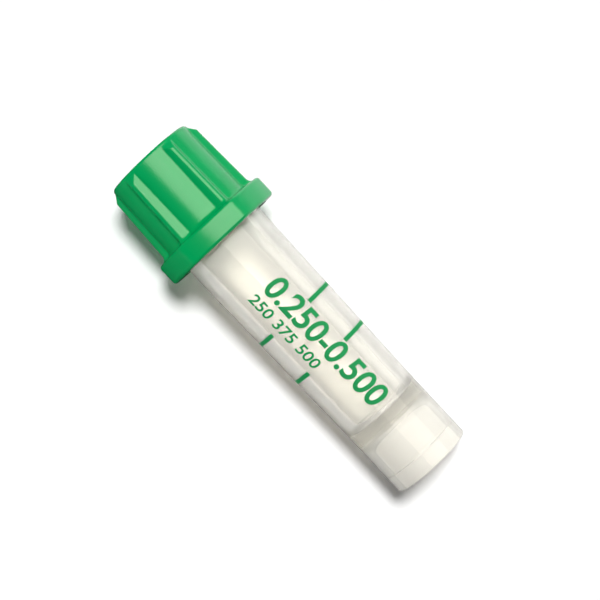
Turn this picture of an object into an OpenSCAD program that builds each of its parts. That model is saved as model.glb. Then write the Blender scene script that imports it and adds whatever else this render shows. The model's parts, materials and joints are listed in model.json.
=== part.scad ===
// Capillary blood collection tube with its pull-off closure, lying on its side.
// The tube is one clear moulding: scoop mouth, tapered wall, floor and an open skirt below the floor.
// The closure is one green moulding: dished top, ribbed wall, hexagonal flange and a hollow plug.

/* [Tube] */
// Length of tube that shows below the closure
exposed_l = 33; // [31:0.1:35]
// Outer diameter of the straight foot
foot_d = 9.55; // [9.4:0.05:9.7]
// Outer diameter under the closure
top_d = 10.2; // [10:0.05:10.3]
// Height of the straight foot, which seats in a rack or carrier
foot_h = 8; // [7:0.1:9]
// Bore diameter at the floor
bore_floor_d = 7.3; // [7:0.05:7.4]
// Bore diameter at the mouth
bore_mouth_d = 7.6; // [7.5:0.05:7.7]
// Rounding where the bore meets the floor
bore_round = 1.2; // [0.8:0.1:3]
// Height of the open skirt below the floor
skirt_h = 6.3; // [5:0.1:7]
// Inner diameter of the skirt
skirt_d = 7.6; // [7.4:0.05:7.8]
// Rounding at the top of the skirt's hollow
skirt_round = 1.4; // [0.5:0.1:2]
// Depth of the skirt's wider lead-in
lead_in_l = 1.9; // [0.5:0.1:2.2]
// How much wider the lead-in is, all round
lead_in_step = 0.15; // [0.05:0.05:0.3]
// Thickness of the floor
floor_t = 1.5; // [1:0.1:2]
// Rounding of the foot's outer edge
foot_round = 0.2; // [0.1:0.05:0.3]

/* [Mouth] */
// Outer diameter at the bottom of the neck
neck_d = 9.3; // [9.1:0.05:9.35]
// Outer diameter at the tip of the scoop
scoop_d = 8.8; // [8.6:0.05:8.9]
// Height of the lip on its low side, above the exposed length
lip_h = 6.6; // [6:0.1:7]
// How much further the scoop reaches on its high side
scoop_h = 3; // [1.5:0.1:3.2]

/* [Closure] */
// Height of the closure
closure_h = 12; // [11.8:0.1:13]
// Diameter of the panels between the ribs, at the flange
panel_base_d = 10.9; // [10.8:0.1:11.3]
// Diameter of the panels between the ribs, at the top
panel_top_d = 10.6; // [10.4:0.1:10.8]
// Rounding of the top edge
top_round = 0.35; // [0.2:0.05:0.5]
// Depth of the dished top
dish_h = 0.8; // [0.4:0.1:0.9]
// Diameter of the dished top
dish_d = 7.6; // [6:0.1:8]
// Thickness of the top, from its rim to the inside
crown_t = 1.9; // [1.8:0.1:2]
// Inner diameter of the wall at the flange
socket_base_d = 9.7; // [9.6:0.05:9.8]
// Inner diameter of the wall at the top
socket_top_d = 9.2; // [9.15:0.05:9.3]
// Outer diameter of the plug
plug_d = 7.46; // [7.4:0.01:7.48]
// Inner diameter of the plug
plug_hollow_d = 5.4; // [4.5:0.1:5.8]
// Length of the plug below the top's inside
plug_l = 5.2; // [4.2:0.1:5.4]

/* [Ribs] */
// Number of ribs, one on each corner of the flange
rib_n = 6; // [6]
// Diameter over the ribs' crests, at the flange
rib_base_d = 12.4; // [12:0.1:12.6]
// Diameter over the ribs' crests, at the top
rib_top_d = 11.74; // [11.5:0.02:11.9]
// Width of a rib's flat crest
rib_crest_w = 0.4; // [0.3:0.1:0.8]
// Angle of a rib's flanks, from its crest
rib_flank = 47; // [40:1:60]
// How much a rib rises for each millimetre below the top edge, until it is at its full height
rib_slope = 0.75; // [0.4:0.05:1.5]

/* [Flange] */
// Thickness of the hexagonal flange
flange_t = 2.6; // [2.4:0.05:2.9]
// Width of the flange across its sides
flange_w = 13.7; // [13.4:0.1:14.2]
// Radius of the flange's slightly bulging sides
side_r = 14; // [9:1:30]
// Rounding of the flange's edges
edge_r = 0.4; // [0.2:0.05:0.5]
// Height of the splay between the wall and the flange
splay = 0.6; // [0.2:0.1:0.6]
// Depth of the flange's recess over the tube's shoulder
recess_h = 0.9; // [0.7:0.1:1.2]
// Gap all round between the tube and the recess
recess_gap = 0.15; // [0.1:0.05:0.2]

/* [Hidden] */

$fn = 96;
eps = 0.01;            // overlap where two cuts meet, or where a cut meets a face
splay_sink = 0.1;      // how deep the splay's foot sinks into the flange
rib_root = 0.2;        // how deep a rib's root sinks into the wall
seat_gap = 0.05;       // the closure's step stands this far off the tube's shoulder

rim_z = exposed_l + lip_h + scoop_h / 2;          // height of the slanted lip on the axis
scoop_tip_z = exposed_l + lip_h + scoop_h;
shoulder_z = exposed_l + recess_h - seat_gap;
bore_floor_z = skirt_h + floor_t;
plug_top_z = closure_h - crown_t;
flat_r = flange_w / 2;
wall_z = flange_t / 2;                            // the wall and the ribs grow out of the flange

// The tube lies on its foot's rim and on the edge of one of the flange's sides, so its axis is
// the common tangent of those two roundings.
span_z = exposed_l + edge_r - foot_round;
span_r = (flat_r - edge_r) - (foot_d / 2 - foot_round);
lie_tilt = atan2(span_r, span_z) + asin((edge_r - foot_round) / norm([span_z, span_r]));
lie_z = foot_round - foot_round * sin(lie_tilt) + (foot_d / 2 - foot_round) * cos(lie_tilt);

// Ends of the laid object along X, which centre it over the origin.
foot_end_x = foot_round * cos(lie_tilt) - (foot_d / 2 - foot_round) * sin(lie_tilt) - foot_round;
crown_end_x = (exposed_l + closure_h - top_round) * cos(lie_tilt)
    + (panel_top_d / 2 - top_round) * sin(lie_tilt) + top_round;

// Lays a piece that stands on Z down along +X, mouth end up a little, with its local +X to the floor.
module laid() {
    translate([-(foot_end_x + crown_end_x) / 2, 0, lie_z])
        rotate([0, 90 - lie_tilt, 0])
            children();
}

// What a rounding takes off a corner that points along +X and -Y.
module nick(round_r) {
    difference() {
        translate([-round_r, -eps])
            square([round_r + eps, round_r + eps]);
        translate([-round_r, round_r])
            circle(round_r);
    }
}

// Half outline of a round block, from the axis out, with its lower outer corner rounded.
module rounded_half(r, h, round_r) {
    difference() {
        square([r, h]);
        translate([r, 0])
            nick(round_r);
    }
}

// ---- tube ----

module tube_outside() {
    rotate_extrude()
        rounded_half(foot_d / 2, foot_h, foot_round);
    translate([0, 0, foot_h])
        cylinder(h = shoulder_z - foot_h, d1 = foot_d, d2 = top_d);
    translate([0, 0, shoulder_z])
        cylinder(h = scoop_tip_z - shoulder_z, d1 = neck_d, d2 = scoop_d);
}

module tube_bore() {
    taper_z = bore_floor_z + bore_round;
    translate([0, 0, bore_floor_z])
        rotate_extrude()
            rounded_half(bore_floor_d / 2, bore_round + eps, bore_round);
    translate([0, 0, taper_z])
        cylinder(h = exposed_l - taper_z, d1 = bore_floor_d, d2 = bore_mouth_d);
    translate([0, 0, exposed_l])
        cylinder(h = scoop_tip_z - exposed_l + 1, d = bore_mouth_d);
}

module skirt_hollow() {
    translate([0, 0, skirt_h])
        mirror([0, 0, 1])
            rotate_extrude()
                rounded_half(skirt_d / 2, skirt_h + 1, skirt_round);
    translate([0, 0, -1])
        cylinder(h = lead_in_l + 1, d = skirt_d + 2 * lead_in_step);
}

// The lip is cut on a slant, so that its high side is a scoop for the drop of blood.
module scoop_cut() {
    slant = atan2(scoop_h, scoop_d);
    translate([0, 0, rim_z])
        rotate([0, slant, 0])
            translate([-top_d, -top_d, 0])
                cube([2 * top_d, 2 * top_d, 2 * scoop_h]);
}

module tube() {
    color([0.93, 0.93, 0.9, 0.5])
        laid()
            difference() {
                tube_outside();
                tube_bore();
                skirt_hollow();
                scoop_cut();
            }
}

// ---- closure ----

// The tapered wall, with its rounded top edge and the splay that runs it onto the flange.
module closure_wall() {
    base_r = panel_base_d / 2;
    rim_r = panel_top_d / 2;
    splay_r = base_r + splay + splay_sink;
    rotate_extrude()
        difference() {
            polygon([
                [0, wall_z],
                [splay_r, wall_z],
                [splay_r, flange_t - splay_sink],
                [base_r, flange_t + splay],
                [rim_r, closure_h],
                [0, closure_h]
            ]);
            translate([rim_r, closure_h])
                mirror([0, 1])
                    nick(top_round);
        }
}

// One rib with a flat crest and slanted flanks, leaning with the taper of the crests.
module rib() {
    lean = atan2((rib_base_d - rib_top_d) / 2, closure_h - flange_t);
    depth = rib_base_d / 2 - panel_top_d / 2 + rib_root;
    crest_w = rib_crest_w / 2;
    root_w = crest_w + depth / tan(rib_flank);
    translate([rib_base_d / 2, 0, flange_t])
        rotate([0, -lean, 0])
            translate([0, 0, wall_z - flange_t])
                linear_extrude(closure_h)
                    polygon([[-depth, -root_w], [0, -crest_w], [0, crest_w], [-depth, root_w]]);
}

// All the ribs, cut to a slope where they rise out of the rounding of the top edge.
module ribs() {
    start_r = panel_top_d / 2 - top_round;
    intersection() {
        for (k = [0 : rib_n - 1])
            rotate([0, 0, 30 + k * 360 / rib_n])
                rib();
        cylinder(h = closure_h, r1 = start_r + closure_h * rib_slope, r2 = start_r);
    }
}

// A disc as thick as the flange, with both of its edges rounded.
module flange_disc(r) {
    rotate_extrude()
        difference() {
            square([r, flange_t]);
            translate([r, 0])
                nick(edge_r);
            translate([r, flange_t])
                mirror([0, 1])
                    nick(edge_r);
        }
}

// Six large discs meet in a hexagon with slightly bulging sides.
module flange() {
    intersection_for (k = [0 : 5])
        rotate([0, 0, 60 * k])
            translate([flat_r - side_r, 0, 0])
                flange_disc(side_r);
}

module closure_socket() {
    translate([0, 0, -1])
        cylinder(h = recess_h + 1, d = top_d + 2 * recess_gap);
    translate([0, 0, recess_h - eps])
        cylinder(h = plug_top_z - recess_h + eps, d1 = socket_base_d, d2 = socket_top_d);
}

module plug() {
    translate([0, 0, plug_top_z - plug_l])
        difference() {
            cylinder(h = plug_l + eps, d = plug_d);
            translate([0, 0, -1])
                cylinder(h = plug_l + 1 - dish_h / 2, d = plug_hollow_d);
        }
}

module closure() {
    color([0.02, 0.66, 0.36])
        laid()
            translate([0, 0, exposed_l]) {
                difference() {
                    union() {
                        closure_wall();
                        flange();
                        ribs();
                    }
                    closure_socket();
                    translate([0, 0, closure_h - dish_h])
                        cylinder(h = dish_h + 1, d = dish_d);
                }
                plug();
            }
}

tube();
closure();
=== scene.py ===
import json
import math

import bmesh
import bpy
from mathutils import Matrix, Vector


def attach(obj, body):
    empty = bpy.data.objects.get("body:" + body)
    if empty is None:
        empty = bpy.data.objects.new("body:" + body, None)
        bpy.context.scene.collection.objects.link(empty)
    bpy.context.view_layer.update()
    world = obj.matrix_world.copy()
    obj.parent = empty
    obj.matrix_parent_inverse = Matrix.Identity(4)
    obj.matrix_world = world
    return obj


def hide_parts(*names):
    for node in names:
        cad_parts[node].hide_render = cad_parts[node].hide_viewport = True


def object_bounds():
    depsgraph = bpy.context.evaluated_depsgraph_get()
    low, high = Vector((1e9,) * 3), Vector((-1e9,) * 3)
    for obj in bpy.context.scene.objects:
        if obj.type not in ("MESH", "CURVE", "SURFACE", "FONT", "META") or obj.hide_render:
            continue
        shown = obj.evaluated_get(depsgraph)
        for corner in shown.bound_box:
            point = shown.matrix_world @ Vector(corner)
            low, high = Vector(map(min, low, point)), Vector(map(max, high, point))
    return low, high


# A capillary blood collection tube, lying on its side on a pale bench.
# The clear tube and its green closure are modelled standing on the tube's own axis, in
# millimetres, with z up from the foot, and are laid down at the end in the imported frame.

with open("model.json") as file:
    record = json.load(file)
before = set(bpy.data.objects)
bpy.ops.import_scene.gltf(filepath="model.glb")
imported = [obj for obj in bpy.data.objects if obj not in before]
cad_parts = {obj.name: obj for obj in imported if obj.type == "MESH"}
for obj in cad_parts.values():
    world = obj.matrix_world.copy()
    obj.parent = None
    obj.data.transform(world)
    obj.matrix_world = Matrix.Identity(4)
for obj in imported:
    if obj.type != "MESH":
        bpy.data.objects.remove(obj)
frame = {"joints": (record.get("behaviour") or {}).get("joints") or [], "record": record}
cad_low, cad_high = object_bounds()

# ---- the frame ----

MM = 0.001
MOUNTS = {mount["name"]: mount for mount in frame["record"]["mounts"]}
AXIS = Vector(frame["joints"][0]["axis"]).normalized()
ACROSS = Vector((0, 1, 0))
DOWN = ACROSS.cross(AXIS)
RIM = Vector(MOUNTS["foot_rim"]["pos_m"])
FOOT = Vector((RIM.x, 0, RIM.z))

# Takes a shape from the standing tube's axes, in millimetres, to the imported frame, in metres.
LAID = Matrix.Translation(FOOT) @ Matrix((
    (DOWN.x, ACROSS.x, AXIS.x, 0),
    (DOWN.y, ACROSS.y, AXIS.y, 0),
    (DOWN.z, ACROSS.z, AXIS.z, 0),
    (0, 0, 0, 1),
)) @ Matrix.Scale(MM, 4)

# ---- sizes, in millimetres ----

# Tube: radii, and heights above its foot. The main ones repeat those of its solid.
FOOT_R = MOUNTS["foot_outside"]["dims"]["r_mm"]
SKIRT_R = MOUNTS["skirt_bore"]["dims"]["r_mm"]
FOOT_H = 8.0
FOOT_ROUND = 0.2
EXPOSED = 33.0
TOP_R = 5.1
SHOULDER = EXPOSED + 0.85
SHOULDER_ROUND = 0.12
BORE_FLOOR_R = 3.65
BORE_MOUTH_R = 3.8
BORE_ROUND = 1.2
SKIRT_H = 6.3
SKIRT_ROUND = 1.4
SKIRT_EDGE_ROUND = 0.08
LEAD_IN_L = 1.9
LEAD_IN_STEP = 0.15
FLOOR_T = 1.5
FLOOR = SKIRT_H + FLOOR_T
NECK_R = 4.65
LIP_R = 4.44
LIP = 41.1
SCOOP_H = 3.0
SCOOP_W = 8.8
GATE_R = 0.55
GATE_H = 0.15
GATE_BEVEL = 0.08

# Closure: radii, and heights above the bottom of its flange.
CLOSURE_H = 12.0
PANEL_FOOT_R = 5.45
PANEL_TOP_R = 5.3
TOP_ROUND = 0.35
DISH_R = 3.8
DISH_H = 0.8
DISH_FLOOR_ROUND = 0.25
DISH_RIM_ROUND = 0.15
DISH_GATE_H = 0.12
DISH_GATE_BEVEL = 0.1
CROWN_T = 1.9
RECESS_R = 5.25
RECESS_H = 0.9
SOCKET_FOOT_R = 4.85
SOCKET_TOP_R = 4.6
PLUG_R = 3.73
PLUG_HOLLOW_R = 2.7
PLUG_L = 5.2
PLUG_LEAD_L = 0.3
PLUG_LEAD_W = 0.2
FLANGE_T = 2.6
FLANGE_R = 6.85
FLANGE_SIDE_R = 14.0
FLANGE_CORNER = 0.35
EDGE_R = 0.4
SPLAY = 0.6

# Ribs of the closure.
RIBS = 6
RIB_TOP_R = 5.87
RIB_FOOT_R = 6.2
RIB_CREST_W = 0.4
RIB_SLANT = math.tan(math.radians(47))
RIB_FILLET = 0.14
# They slope up out of the top edge's rounding, and are at their full height from RIB_FULL_H down.
RIB_START_R = PANEL_TOP_R - TOP_ROUND
RIB_RISE = 0.75
RIB_FULL_H = CLOSURE_H - 1.7

# Print on the tube: heights above the foot, and spans round it in degrees from the top.
INK_PROUD = 0.02
INK_SUNK = 0.01
TICK_LEVELS = (16.4, 22.0)
TICK_SPANS = ((-82, -37), (28, 86))
TICK_W = 0.5
SLANT = 0.12

# How finely the shapes are cut up, and how near two points count as one.
TURN_STEPS = 360
WALL_STEPS = 16
STRIP_W = 0.25
MERGE_D = 1e-4
SLACK = 0.01

# Faces that meet at more than this many degrees keep a sharp edge.
SHARP = 40
PRINT_SHARP = 30


# ---- shaping tools ----

def arc(centre, radius, start, end, steps):
    """Points on an arc of an outline, from one angle in degrees to another."""
    angles = [math.radians(start + (end - start) * k / steps) for k in range(steps + 1)]
    return [(centre[0] + radius * math.cos(a), centre[1] + radius * math.sin(a)) for a in angles]


def stretch(first, last, steps):
    """Points evenly along a straight stretch of an outline, its two ends left out."""
    run, rise = last[0] - first[0], last[1] - first[1]
    shares = [k / steps for k in range(1, steps)]
    return [(first[0] + run * t, first[1] + rise * t) for t in shares]


def ramp(value, low, high):
    """How far a value has come from low to high, as a share from 0 to 1."""
    return min(max((value - low) / (high - low), 0), 1)


def turned(outline):
    """A closed skin: an outline of (radius, height) points turned once round the axis."""
    bm = bmesh.new()
    verts = [bm.verts.new((r, 0, z)) for r, z in outline]
    edges = [bm.edges.new(pair) for pair in zip(verts, verts[1:])]
    bmesh.ops.spin(bm, geom=verts + edges, cent=(0, 0, 0), axis=(0, 0, 1), dvec=(0, 0, 0),
                   angle=2 * math.pi, steps=TURN_STEPS, use_merge=True)
    bmesh.ops.remove_doubles(bm, verts=bm.verts, dist=MERGE_D)
    bmesh.ops.recalc_face_normals(bm, faces=bm.faces)
    return bm


def finished(name, bm, material, body, sharp=SHARP):
    """Lays a shape down in the frame, and makes it a piece that rides on a body."""
    bm.transform(LAID)
    mesh = bpy.data.meshes.new(name)
    bm.to_mesh(mesh)
    bm.free()
    mesh.shade_smooth()
    mesh.set_sharp_from_angle(angle=math.radians(sharp))
    mesh.materials.append(material)
    piece = bpy.data.objects.new(name, mesh)
    bpy.context.scene.collection.objects.link(piece)
    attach(piece, body)
    return piece


# ---- materials ----

def linear(hex_colour, alpha=1.0):
    """An sRGB hex colour as the linear one that shaders take."""
    channels = [int(hex_colour[k:k + 2], 16) / 255 for k in (1, 3, 5)]
    bent = [c / 12.92 if c <= 0.04045 else ((c + 0.055) / 1.055) ** 2.4 for c in channels]
    return (*bent, alpha)


def scale_for(size):
    """The Scale of a noise texture whose patches are this many millimetres across."""
    return 1 / (size * MM)


def new_material(name):
    """An empty node tree with its output, ready for a material's own nodes."""
    material = bpy.data.materials.new(name)
    material.use_nodes = True
    material.node_tree.nodes.clear()
    return material, material.node_tree


def node(tree, kind, links=None, sockets=None, **settings):
    """Adds a node with its settings, its socket values and the links that feed it."""
    made = tree.nodes.new(kind)
    for name, value in settings.items():
        setattr(made, name, value)
    for name, value in (sockets or {}).items():
        made.inputs[name].default_value = value
    for name, source in (links or {}).items():
        tree.links.new(source, made.inputs[name])
    return made


def lamp_light(tree, frost):
    """What the clear plastic lets past of a lamp's light.

    It lets most of it past where the light meets the wall head on. The wall's round edges and
    the frosted hollow throw a shadow."""
    edge = node(tree, "ShaderNodeLayerWeight", sockets={"Blend": 0.5})
    stop = node(tree, "ShaderNodeMapRange", {"Value": edge.outputs["Facing"]},
                {"From Min": 0.12, "From Max": 0.42})
    stop = node(tree, "ShaderNodeMath", {0: stop.outputs["Result"], 1: frost}, operation="MAXIMUM")
    veil = node(tree, "ShaderNodeMix", {"Factor": stop.outputs["Value"]},
                {"A": linear("#FDFCF9"), "B": linear("#202020")}, data_type="RGBA")
    return node(tree, "ShaderNodeBsdfTransparent", {"Color": veil.outputs["Result"]})


def clear_polypropylene():
    """Moulded clarified polypropylene: clear with a milky cast, smooth skin, slightly wavy wall.

    Where the piece's own frost attribute is 1 the mould's core has left the surface frosted."""
    material, tree = new_material("clear_moulded_polypropylene")
    place = node(tree, "ShaderNodeTexCoord").outputs["Object"]
    frost = node(tree, "ShaderNodeAttribute", attribute_name="frost").outputs["Fac"]
    # Flow in the mould leaves the wall wavy over about 3 mm.
    wave = node(tree, "ShaderNodeTexNoise", {"Vector": place},
                {"Scale": scale_for(2.86), "Detail": 1.0})
    bump = node(tree, "ShaderNodeBump", {"Height": wave.outputs["Fac"]},
                {"Strength": 0.08, "Distance": 0.2 * MM})
    # The frosted part is duller, and less of what lies behind shows through it.
    haze = node(tree, "ShaderNodeMapRange", {"Value": wave.outputs["Fac"]},
                {"To Min": 0.06, "To Max": 0.10})
    rough = node(tree, "ShaderNodeMix", {"Factor": frost, "A": haze.outputs["Result"]}, {"B": 0.3})
    through = node(tree, "ShaderNodeMapRange", {"Value": frost}, {"To Min": 0.76, "To Max": 0.5})
    # The milky plastic mirrors a lamp only faintly, so its gloss is held down.
    skin = node(tree, "ShaderNodeBsdfPrincipled",
                {"Normal": bump.outputs["Normal"], "Roughness": rough.outputs["Result"],
                 "Transmission Weight": through.outputs["Result"]},
                {"Base Color": linear("#FEFDF9"), "IOR": 1.49, "Specular IOR Level": 0.15,
                 "Specular Tint": linear("#BCBCBC")})
    path = node(tree, "ShaderNodeLightPath")
    mixed = node(tree, "ShaderNodeMixShader", {0: path.outputs["Is Shadow Ray"],
                                               1: skin.outputs["BSDF"],
                                               2: lamp_light(tree, frost).outputs["BSDF"]})
    # Light greys as it runs through more of the plastic, as in the floor and round the skirt.
    murk = node(tree, "ShaderNodeVolumeAbsorption",
                sockets={"Color": linear("#D8D7D0"), "Density": 170.0})
    node(tree, "ShaderNodeOutputMaterial", {"Surface": mixed.outputs["Shader"],
                                            "Volume": murk.outputs["Volume"]})
    return material


def green_polyethylene():
    """Moulded green polyethylene: a waxy half gloss over a finely spark-eroded skin."""
    material, tree = new_material("green_moulded_polyethylene")
    place = node(tree, "ShaderNodeTexCoord").outputs["Object"]
    # The skin's grain is too fine to show, and is drawn about 0.15 mm across.
    grain = node(tree, "ShaderNodeTexNoise", {"Vector": place},
                 {"Scale": scale_for(0.154), "Detail": 2.0})
    bump = node(tree, "ShaderNodeBump", {"Height": grain.outputs["Fac"]},
                {"Strength": 0.12, "Distance": 0.05 * MM})
    # Colour and gloss settle unevenly over a few millimetres.
    drift = node(tree, "ShaderNodeTexNoise", {"Vector": place},
                 {"Scale": scale_for(3.33), "Detail": 3.0})
    tone = node(tree, "ShaderNodeMix", {"Factor": drift.outputs["Fac"]},
                {"A": linear("#009D54"), "B": linear("#00A35A")}, data_type="RGBA")
    gloss = node(tree, "ShaderNodeMapRange", {"Value": drift.outputs["Fac"]},
                 {"To Min": 0.18, "To Max": 0.24})
    skin = node(tree, "ShaderNodeBsdfPrincipled",
                {"Normal": bump.outputs["Normal"], "Base Color": tone.outputs["Result"],
                 "Roughness": gloss.outputs["Result"]},
                {"IOR": 1.51, "Specular IOR Level": 0.42})
    node(tree, "ShaderNodeOutputMaterial", {"Surface": skin.outputs["BSDF"]})
    return material


def green_ink():
    """Pad-printed green ink: opaque and half matt, with a little unevenness from the pad."""
    material, tree = new_material("pad_printed_green_ink")
    place = node(tree, "ShaderNodeTexCoord").outputs["Object"]
    # The pad lays the ink down in specks about 0.25 mm across.
    speckle = node(tree, "ShaderNodeTexNoise", {"Vector": place},
                   {"Scale": scale_for(0.25), "Detail": 2.0})
    tone = node(tree, "ShaderNodeMix", {"Factor": speckle.outputs["Fac"]},
                {"A": linear("#0E8A48"), "B": linear("#1E9856")}, data_type="RGBA")
    skin = node(tree, "ShaderNodeBsdfPrincipled", {"Base Color": tone.outputs["Result"]},
                {"Roughness": 0.6, "IOR": 1.5, "Specular IOR Level": 0.12})
    node(tree, "ShaderNodeOutputMaterial", {"Surface": skin.outputs["BSDF"]})
    return material


def white_card():
    """The bench: plain white card that still takes the object's shadow."""
    material, tree = new_material("white_card")
    card = node(tree, "ShaderNodeBsdfDiffuse", sockets={"Color": linear("#FFFFFF")})
    node(tree, "ShaderNodeOutputMaterial", {"Surface": card.outputs["BSDF"]})
    return material


# ---- tube ----

def tube_outline():
    """Half section of the tube, from the middle of its floor over the lip and round the skirt."""
    lip_mid_r = (BORE_MOUTH_R + LIP_R) / 2
    lip_round = (LIP_R - BORE_MOUTH_R) / 2
    wall_top = SHOULDER - SHOULDER_ROUND
    lead_in_r = SKIRT_R + LEAD_IN_STEP
    return [
        (0, FLOOR),
        *arc((BORE_FLOOR_R - BORE_ROUND, FLOOR + BORE_ROUND), BORE_ROUND, -90, 0, 16),
        *stretch((BORE_FLOOR_R, FLOOR + BORE_ROUND), (BORE_MOUTH_R, EXPOSED), WALL_STEPS),
        (BORE_MOUTH_R, EXPOSED),
        (BORE_MOUTH_R, SHOULDER),
        *arc((lip_mid_r, LIP - lip_round), lip_round, 180, 0, 10),
        (NECK_R, SHOULDER),
        *arc((TOP_R - SHOULDER_ROUND, wall_top), SHOULDER_ROUND, 90, 0, 4),
        *stretch((TOP_R, wall_top), (FOOT_R, FOOT_H), WALL_STEPS),
        (FOOT_R, FOOT_H),
        *arc((FOOT_R - FOOT_ROUND, FOOT_ROUND), FOOT_ROUND, 0, -90, 6),
        *arc((lead_in_r + SKIRT_EDGE_ROUND, SKIRT_EDGE_ROUND), SKIRT_EDGE_ROUND, -90, -180, 3),
        (lead_in_r, LEAD_IN_L),
        (SKIRT_R, LEAD_IN_L + LEAD_IN_STEP),
        *arc((SKIRT_R - SKIRT_ROUND, SKIRT_H - SKIRT_ROUND), SKIRT_ROUND, 0, 90, 12),
        (GATE_R, SKIRT_H),
        (GATE_R - GATE_BEVEL, SKIRT_H - GATE_H),
        (0, SKIRT_H - GATE_H),
    ]


def clear_tube(material):
    """The whole tube is one moulding. Its neck is drawn up on one side into the scoop."""
    bm = turned(tube_outline())
    for v in bm.verts:
        share = (v.co.z - SHOULDER) / (LIP - SHOULDER)
        v.co.z -= max(share, 0) * v.co.x * SCOOP_H / SCOOP_W
    # The skirt's hollow is frosted, with its lead-in.
    frost = bm.faces.layers.float.new("frost")
    for face in bm.faces:
        middle = face.calc_center_median()
        inside = math.hypot(middle.x, middle.y) < SKIRT_R + LEAD_IN_STEP + SLACK
        face[frost] = 1.0 if inside and middle.z < SKIRT_H + SLACK else 0.0
    tube = finished("clear_tube", bm, material, "tube")
    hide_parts("tube")
    return tube


# ---- closure ----

def closure_outline():
    """Half section of the closure between its ribs, from the dished top round to the plug."""
    crown_in = CLOSURE_H - CROWN_T
    dish = CLOSURE_H - DISH_H
    flange_in = FLANGE_R - EDGE_R
    skin_top = (PANEL_TOP_R, CLOSURE_H - TOP_ROUND)
    skin_rise = (wall_radius(PANEL_TOP_R, PANEL_FOOT_R, RIB_FULL_H), RIB_FULL_H)
    skin_foot = (PANEL_FOOT_R, FLANGE_T + SPLAY)
    flange_foot = (PANEL_FOOT_R + SPLAY, FLANGE_T)
    plug_tip = crown_in - PLUG_L
    return [
        (0, dish - DISH_GATE_H),
        (GATE_R, dish - DISH_GATE_H),
        (GATE_R + DISH_GATE_BEVEL, dish),
        *arc((DISH_R - DISH_FLOOR_ROUND, dish + DISH_FLOOR_ROUND), DISH_FLOOR_ROUND, -90, 0, 6),
        *arc((DISH_R + DISH_RIM_ROUND, CLOSURE_H - DISH_RIM_ROUND), DISH_RIM_ROUND, 180, 90, 4),
        *arc((PANEL_TOP_R - TOP_ROUND, CLOSURE_H - TOP_ROUND), TOP_ROUND, 90, 0, 8),
        *stretch(skin_top, skin_rise, 14),
        skin_rise,
        *stretch(skin_rise, skin_foot, 8),
        *arc((skin_foot[0] + SPLAY, skin_foot[1]), SPLAY, 180, 270, 6),
        *stretch(flange_foot, (flange_in, FLANGE_T), 3),
        *arc((flange_in, FLANGE_T - EDGE_R), EDGE_R, 90, 0, 8),
        *arc((flange_in, EDGE_R), EDGE_R, 0, -90, 8),
        *stretch((flange_in, 0), (RECESS_R, 0), 5),
        (RECESS_R, 0),
        (RECESS_R, RECESS_H),
        (SOCKET_FOOT_R, RECESS_H),
        (SOCKET_TOP_R, crown_in),
        (PLUG_R, crown_in),
        (PLUG_R, plug_tip + PLUG_LEAD_L),
        (PLUG_R - PLUG_LEAD_W, plug_tip),
        (PLUG_HOLLOW_R, plug_tip),
        (PLUG_HOLLOW_R, crown_in - DISH_H / 2),
        (0, crown_in - DISH_H / 2),
    ]


def soft_max(a, b, round_off):
    """The larger of two values, with a fillet where they cross."""
    near = max(round_off - abs(a - b), 0) / round_off
    return max(a, b) + near * near * round_off / 4


def fold(angle, pitch):
    """An angle as its distance from the nearest multiple of the pitch, with its sign."""
    return (angle + pitch / 2) % pitch - pitch / 2


def side_radius(angle):
    """Distance from the axis to a bulging side of the flange, at an angle from its middle."""
    set_back = FLANGE_SIDE_R - FLANGE_R
    reach = FLANGE_SIDE_R ** 2 - (set_back * math.sin(angle)) ** 2
    return math.sqrt(reach) - set_back * math.cos(angle)


def flange_radius(angle):
    """Outline of the flange: six bulging sides that meet in rounded corners."""
    pitch = 2 * math.pi / RIBS
    from_side = abs(fold(angle, pitch))
    here, beside = side_radius(from_side), side_radius(pitch - from_side)
    return -soft_max(-here, -beside, FLANGE_CORNER)


def wall_radius(top_r, foot_r, height):
    """Radius of a cone that runs from the top edge of the closure down to its flange."""
    return top_r + (foot_r - top_r) * (CLOSURE_H - height) / (CLOSURE_H - FLANGE_T)


def rib_lift(angle, radius, height):
    """How far the skin stands out of its panel at a rib, which slopes up from the top edge."""
    pitch = 2 * math.pi / RIBS
    proud = wall_radius(RIB_TOP_R, RIB_FOOT_R, height) - radius
    away = abs(fold(angle + pitch / 2, pitch)) * radius
    flank = proud - (away - RIB_CREST_W / 2) * RIB_SLANT
    slope = RIB_START_R + RIB_RISE * (CLOSURE_H - height) - radius
    crest = -soft_max(-flank, -proud, RIB_FILLET)
    return soft_max(min(crest, slope), 0, RIB_FILLET)


def closure_skin(v):
    """Moves a vertex of the closure's outside out to the ribs and the six-sided flange."""
    radius = math.hypot(v.co.x, v.co.y)
    angle = math.atan2(v.co.y, v.co.x)
    height = v.co.z
    wall_r = wall_radius(PANEL_TOP_R, PANEL_FOOT_R, height)
    flange_in = FLANGE_R - EDGE_R
    # Across the flange's top the ribs fade out as its six sides come in.
    across_top = ramp(radius, PANEL_FOOT_R + SPLAY, flange_in)
    on_top = height > FLANGE_T - MERGE_D
    grown = radius
    if on_top:
        grown += rib_lift(angle, min(radius, wall_r), height) * (1 - across_top)
    if height < FLANGE_T + MERGE_D and radius > RECESS_R + MERGE_D:
        across = across_top if on_top else ramp(radius, RECESS_R, flange_in)
        grown += (flange_radius(angle) - FLANGE_R) * across
    v.co.x *= grown / radius
    v.co.y *= grown / radius


def ribbed_closure(material):
    """The whole closure is one moulding."""
    bm = turned(closure_outline())
    # The dish, the socket and the plug lie within the radius where the ribs start.
    for v in bm.verts:
        if math.hypot(v.co.x, v.co.y) > RIB_START_R - SLACK:
            closure_skin(v)
    bmesh.ops.translate(bm, verts=bm.verts, vec=(0, 0, EXPOSED))
    closure = finished("ribbed_closure", bm, material, "closure")
    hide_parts("closure")
    return closure


# ---- print ----

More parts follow.
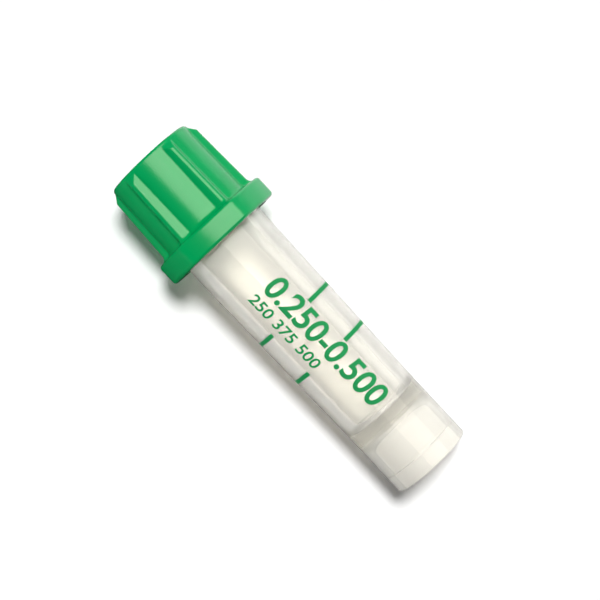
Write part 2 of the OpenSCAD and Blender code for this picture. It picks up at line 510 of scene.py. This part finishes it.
def tube_radius(height):
    """Outer radius of the tube above its straight foot."""
    return FOOT_R + (TOP_R - FOOT_R) * (height - FOOT_H) / (SHOULDER - FOOT_H)


def wrap(bm, level, turn):
    """Wraps a flat print round the tube: its x runs to the foot and its y round to the right.

    level is where x = 0 lies above the foot, turn is where y = 0 lies, in degrees from the top,
    and z is how far it stands out of the wall."""
    for v in bm.verts:
        height = level - v.co.x
        radius = tube_radius(height)
        angle = math.radians(turn) + v.co.y / radius
        radius += v.co.z
        v.co = (-radius * math.cos(angle), -radius * math.sin(angle), height)


def sliced(bm, width):
    """Cuts a flat print of this width along y into strips, so that it can bend."""
    reach = math.ceil(width / 2 / STRIP_W)
    for k in range(-reach, reach + 1):
        geometry = bm.verts[:] + bm.edges[:] + bm.faces[:]
        bmesh.ops.bisect_plane(bm, geom=geometry, dist=MERGE_D / 10,
                               plane_co=(0, k * STRIP_W, 0), plane_no=(0, 1, 0))


def fill_ticks(material):
    """Two short lines at each fill level, one on each side of the numbers."""
    bm = bmesh.new()
    for level in TICK_LEVELS:
        for start, end in TICK_SPANS:
            length = math.radians(end - start) * tube_radius(level)
            block = bmesh.new()
            bmesh.ops.create_cube(block, size=1)
            bmesh.ops.scale(block, verts=block.verts, vec=(TICK_W, length, INK_PROUD + INK_SUNK))
            bmesh.ops.translate(block, verts=block.verts, vec=(0, 0, (INK_PROUD - INK_SUNK) / 2))
            sliced(block, length)
            wrap(block, level, (start + end) / 2)
            mesh = bpy.data.meshes.new("tick")
            block.to_mesh(mesh)
            block.free()
            bm.from_mesh(mesh)
            bpy.data.meshes.remove(mesh)
    return finished("fill_ticks", bm, material, "tube", PRINT_SHARP)


def letters(text, height, weight):
    """Slanted flat letters as a mesh, still of the font's own length, thickness and place."""
    curve = bpy.data.curves.new("letters", "FONT")
    curve.body = text
    curve.size = height
    curve.offset = weight
    curve.shear = SLANT
    # Any thickness does, because the ink's own is given to the letters afterwards.
    curve.extrude = 0.1
    curve.resolution_u = 5
    flat = bpy.data.objects.new("letters", curve)
    bpy.context.scene.collection.objects.link(flat)
    bpy.context.view_layer.update()
    drawn = flat.evaluated_get(bpy.context.evaluated_depsgraph_get())
    mesh = bpy.data.meshes.new_from_object(drawn)
    bpy.data.objects.remove(flat)
    bpy.data.curves.remove(curve)
    bm = bmesh.new()
    bm.from_mesh(mesh)
    bpy.data.meshes.remove(mesh)
    bmesh.ops.remove_doubles(bm, verts=bm.verts, dist=MERGE_D)
    return bm


def numbers(name, text, material, length, height, level, turn, weight):
    """A line of printed numbers that reads from the closure to the foot, its tops to the right.

    It starts at this level and is as long and high as given. weight thickens its strokes."""
    bm = letters(text, height, weight)
    xs, ys, zs = ([v.co[k] for v in bm.verts] for k in range(3))
    fit = (length / (max(xs) - min(xs)), height / (max(ys) - min(ys)),
           (INK_PROUD + INK_SUNK) / (max(zs) - min(zs)))
    bmesh.ops.translate(bm, verts=bm.verts, vec=(-min(xs), -(min(ys) + max(ys)) / 2, -min(zs)))
    bmesh.ops.scale(bm, verts=bm.verts, vec=fit)
    bmesh.ops.translate(bm, verts=bm.verts, vec=(0, 0, -INK_SUNK))
    sliced(bm, height)
    wrap(bm, level, turn)
    return finished(name, bm, material, "tube", PRINT_SHARP)


# ---- build ----

plastic = clear_polypropylene()
green = green_polyethylene()
ink = green_ink()

clear_tube(plastic)
ribbed_closure(green)
fill_ticks(ink)
numbers("volume_numbers", "0.250-0.500", ink,
        length=17.3, height=2.8, level=26.3, turn=9.9, weight=0.06)
numbers("scale_numbers", "250 375 500", ink,
        length=10.3, height=1.35, level=26.6, turn=-20.5, weight=0.02)

# ---- bench, lamps and room ----

BENCH_REACH = 3
MIDDLE = (cad_low + cad_high) / 2


def card_bench():
    """A wide sheet of card under the object, which the object's gloss doesn't mirror."""
    bm = bmesh.new()
    bmesh.ops.create_grid(bm, x_segments=1, y_segments=1, size=BENCH_REACH)
    mesh = bpy.data.meshes.new("bench")
    bm.to_mesh(mesh)
    bm.free()
    mesh.materials.append(white_card())
    bench = bpy.data.objects.new("bench", mesh)
    bpy.context.scene.collection.objects.link(bench)
    bench.visible_glossy = False
    return bench


def lamp(name, kind, toward, distance, strength, unseen, **settings):
    """A lamp that shines on the middle of the object, at a distance in metres towards a direction.

    Rays of the kinds in unseen don't meet it."""
    light = bpy.data.lights.new(name, kind)
    light.energy = strength
    for key, value in settings.items():
        setattr(light, key, value)
    thing = bpy.data.objects.new(name, light)
    direction = Vector(toward).normalized()
    thing.location = MIDDLE + direction * distance
    thing.rotation_mode = "QUATERNION"
    thing.rotation_quaternion = direction.to_track_quat("Z", "Y")
    thing.visible_camera = False
    for ray in unseen:
        setattr(thing, "visible_" + ray, False)
    bpy.context.scene.collection.objects.link(thing)
    return thing


def pale_room():
    """A dim room that is white to the eye, and greyer through the clear plastic."""
    world = bpy.data.worlds.new("pale_room")
    world.use_nodes = True
    tree = world.node_tree
    tree.nodes.clear()
    path = node(tree, "ShaderNodeLightPath")
    # It lights the object a little, and gloss mirrors still less of it.
    light = node(tree, "ShaderNodeBackground", sockets={"Strength": 0.08})
    gloss = node(tree, "ShaderNodeBackground", sockets={"Strength": 0.015})
    lit = node(tree, "ShaderNodeMixShader", {0: path.outputs["Is Glossy Ray"],
                                             1: light.outputs["Background"],
                                             2: gloss.outputs["Background"]})
    # Seen through the plastic, it greys from the right side to the left.
    place = node(tree, "ShaderNodeTexCoord").outputs["Generated"]
    sides = node(tree, "ShaderNodeSeparateXYZ", {"Vector": place})
    grey = node(tree, "ShaderNodeMapRange", {"Value": sides.outputs["Y"]},
                {"From Min": -0.6, "From Max": 0.6, "To Min": 0.95, "To Max": 0.34})
    behind = node(tree, "ShaderNodeMapRange", {"Value": path.outputs["Is Transmission Ray"],
                                               "To Max": grey.outputs["Result"]}, {"To Min": 1.0})
    seen = node(tree, "ShaderNodeBackground", {"Strength": behind.outputs["Result"]})
    white = node(tree, "ShaderNodeMath", {0: path.outputs["Is Camera Ray"],
                                          1: path.outputs["Is Transmission Ray"]},
                 operation="MAXIMUM")
    mix = node(tree, "ShaderNodeMixShader", {0: white.outputs["Value"],
                                             1: lit.outputs["Shader"],
                                             2: seen.outputs["Background"]})
    node(tree, "ShaderNodeOutputWorld", {"Surface": mix.outputs["Shader"]})
    return world


card_bench()

# The key gives the colours and the shadow, and no highlight.
lamp("key_lamp", "SUN", toward=(0.17, -0.31, 1), distance=1, strength=3.05,
     unseen=("glossy", "transmission"), angle=math.radians(14))

# The overhead softbox gives the highlights, and no other light.
lamp("overhead_softbox", "AREA", toward=(0.05, -0.445, 1), distance=0.3, strength=2.1,
     unseen=("diffuse", "transmission"), shape="RECTANGLE", size=0.34, size_y=0.372,
     color=linear("#FFF6E8")[:3])

# Two low softboxes fill the sides.
lamp("right_softbox", "AREA", toward=(0.1, -1, 0.2), distance=0.3, strength=0.2,
     unseen=("glossy", "transmission"), shape="RECTANGLE", size=0.3, size_y=0.1)
lamp("left_softbox", "AREA", toward=(0.1, 1, 0.12), distance=0.3, strength=0.32,
     unseen=("glossy", "transmission"), shape="RECTANGLE", size=0.3, size_y=0.08)

# A panel that lies on the bench and shines up puts a sheen on the right side.
reflector = lamp("right_reflector", "AREA", toward=(0, -1, 0), distance=0.041, strength=0.022,
                 unseen=("diffuse", "transmission"), shape="RECTANGLE", size=0.09, size_y=0.07)
reflector.location.z = 0.5 * MM
reflector.rotation_quaternion = (0, 1, 0, 0)

bpy.context.scene.world = pale_room()

# ---- camera ----

# It looks almost straight down, from a little nearer the foot and to the right, and is rolled so
# that the closure lies at the upper left. It aims near the middle of the tube's axis.
CAMERA_D = 200 * MM
VIEW_W = 65.1 * MM
SENSOR_W = 36
TILT = math.radians(1.75)
LEAN = math.radians(2.8)
ROLL = math.radians(43.0)
AIM_ALONG = 22.5 * MM
AIM_RIGHT = 1.02 * MM
AIM_UP = 1.13 * MM
back = Vector((-math.sin(TILT), -math.sin(LEAN), 1)).normalized()
along = (AXIS - back * AXIS.dot(back)).normalized()
aside = along.cross(back)
image_up = along * math.cos(ROLL) + aside * math.sin(ROLL)
image_right = aside * math.cos(ROLL) - along * math.sin(ROLL)
aim = FOOT + AXIS * AIM_ALONG + image_right * AIM_RIGHT + image_up * AIM_UP
camera = bpy.data.objects.new("camera", bpy.data.cameras.new("camera"))
camera.data.sensor_width = SENSOR_W
camera.data.lens = SENSOR_W * CAMERA_D / VIEW_W
camera.data.clip_start = 0.01
camera.matrix_world = Matrix.Translation(aim + back * CAMERA_D) @ Matrix((
    (image_right.x, image_up.x, back.x, 0),
    (image_right.y, image_up.y, back.y, 0),
    (image_right.z, image_up.z, back.z, 0),
    (0, 0, 0, 1),
))
bpy.context.scene.collection.objects.link(camera)
bpy.context.scene.camera = camera
bpy.context.scene.view_settings.view_transform = "Standard"
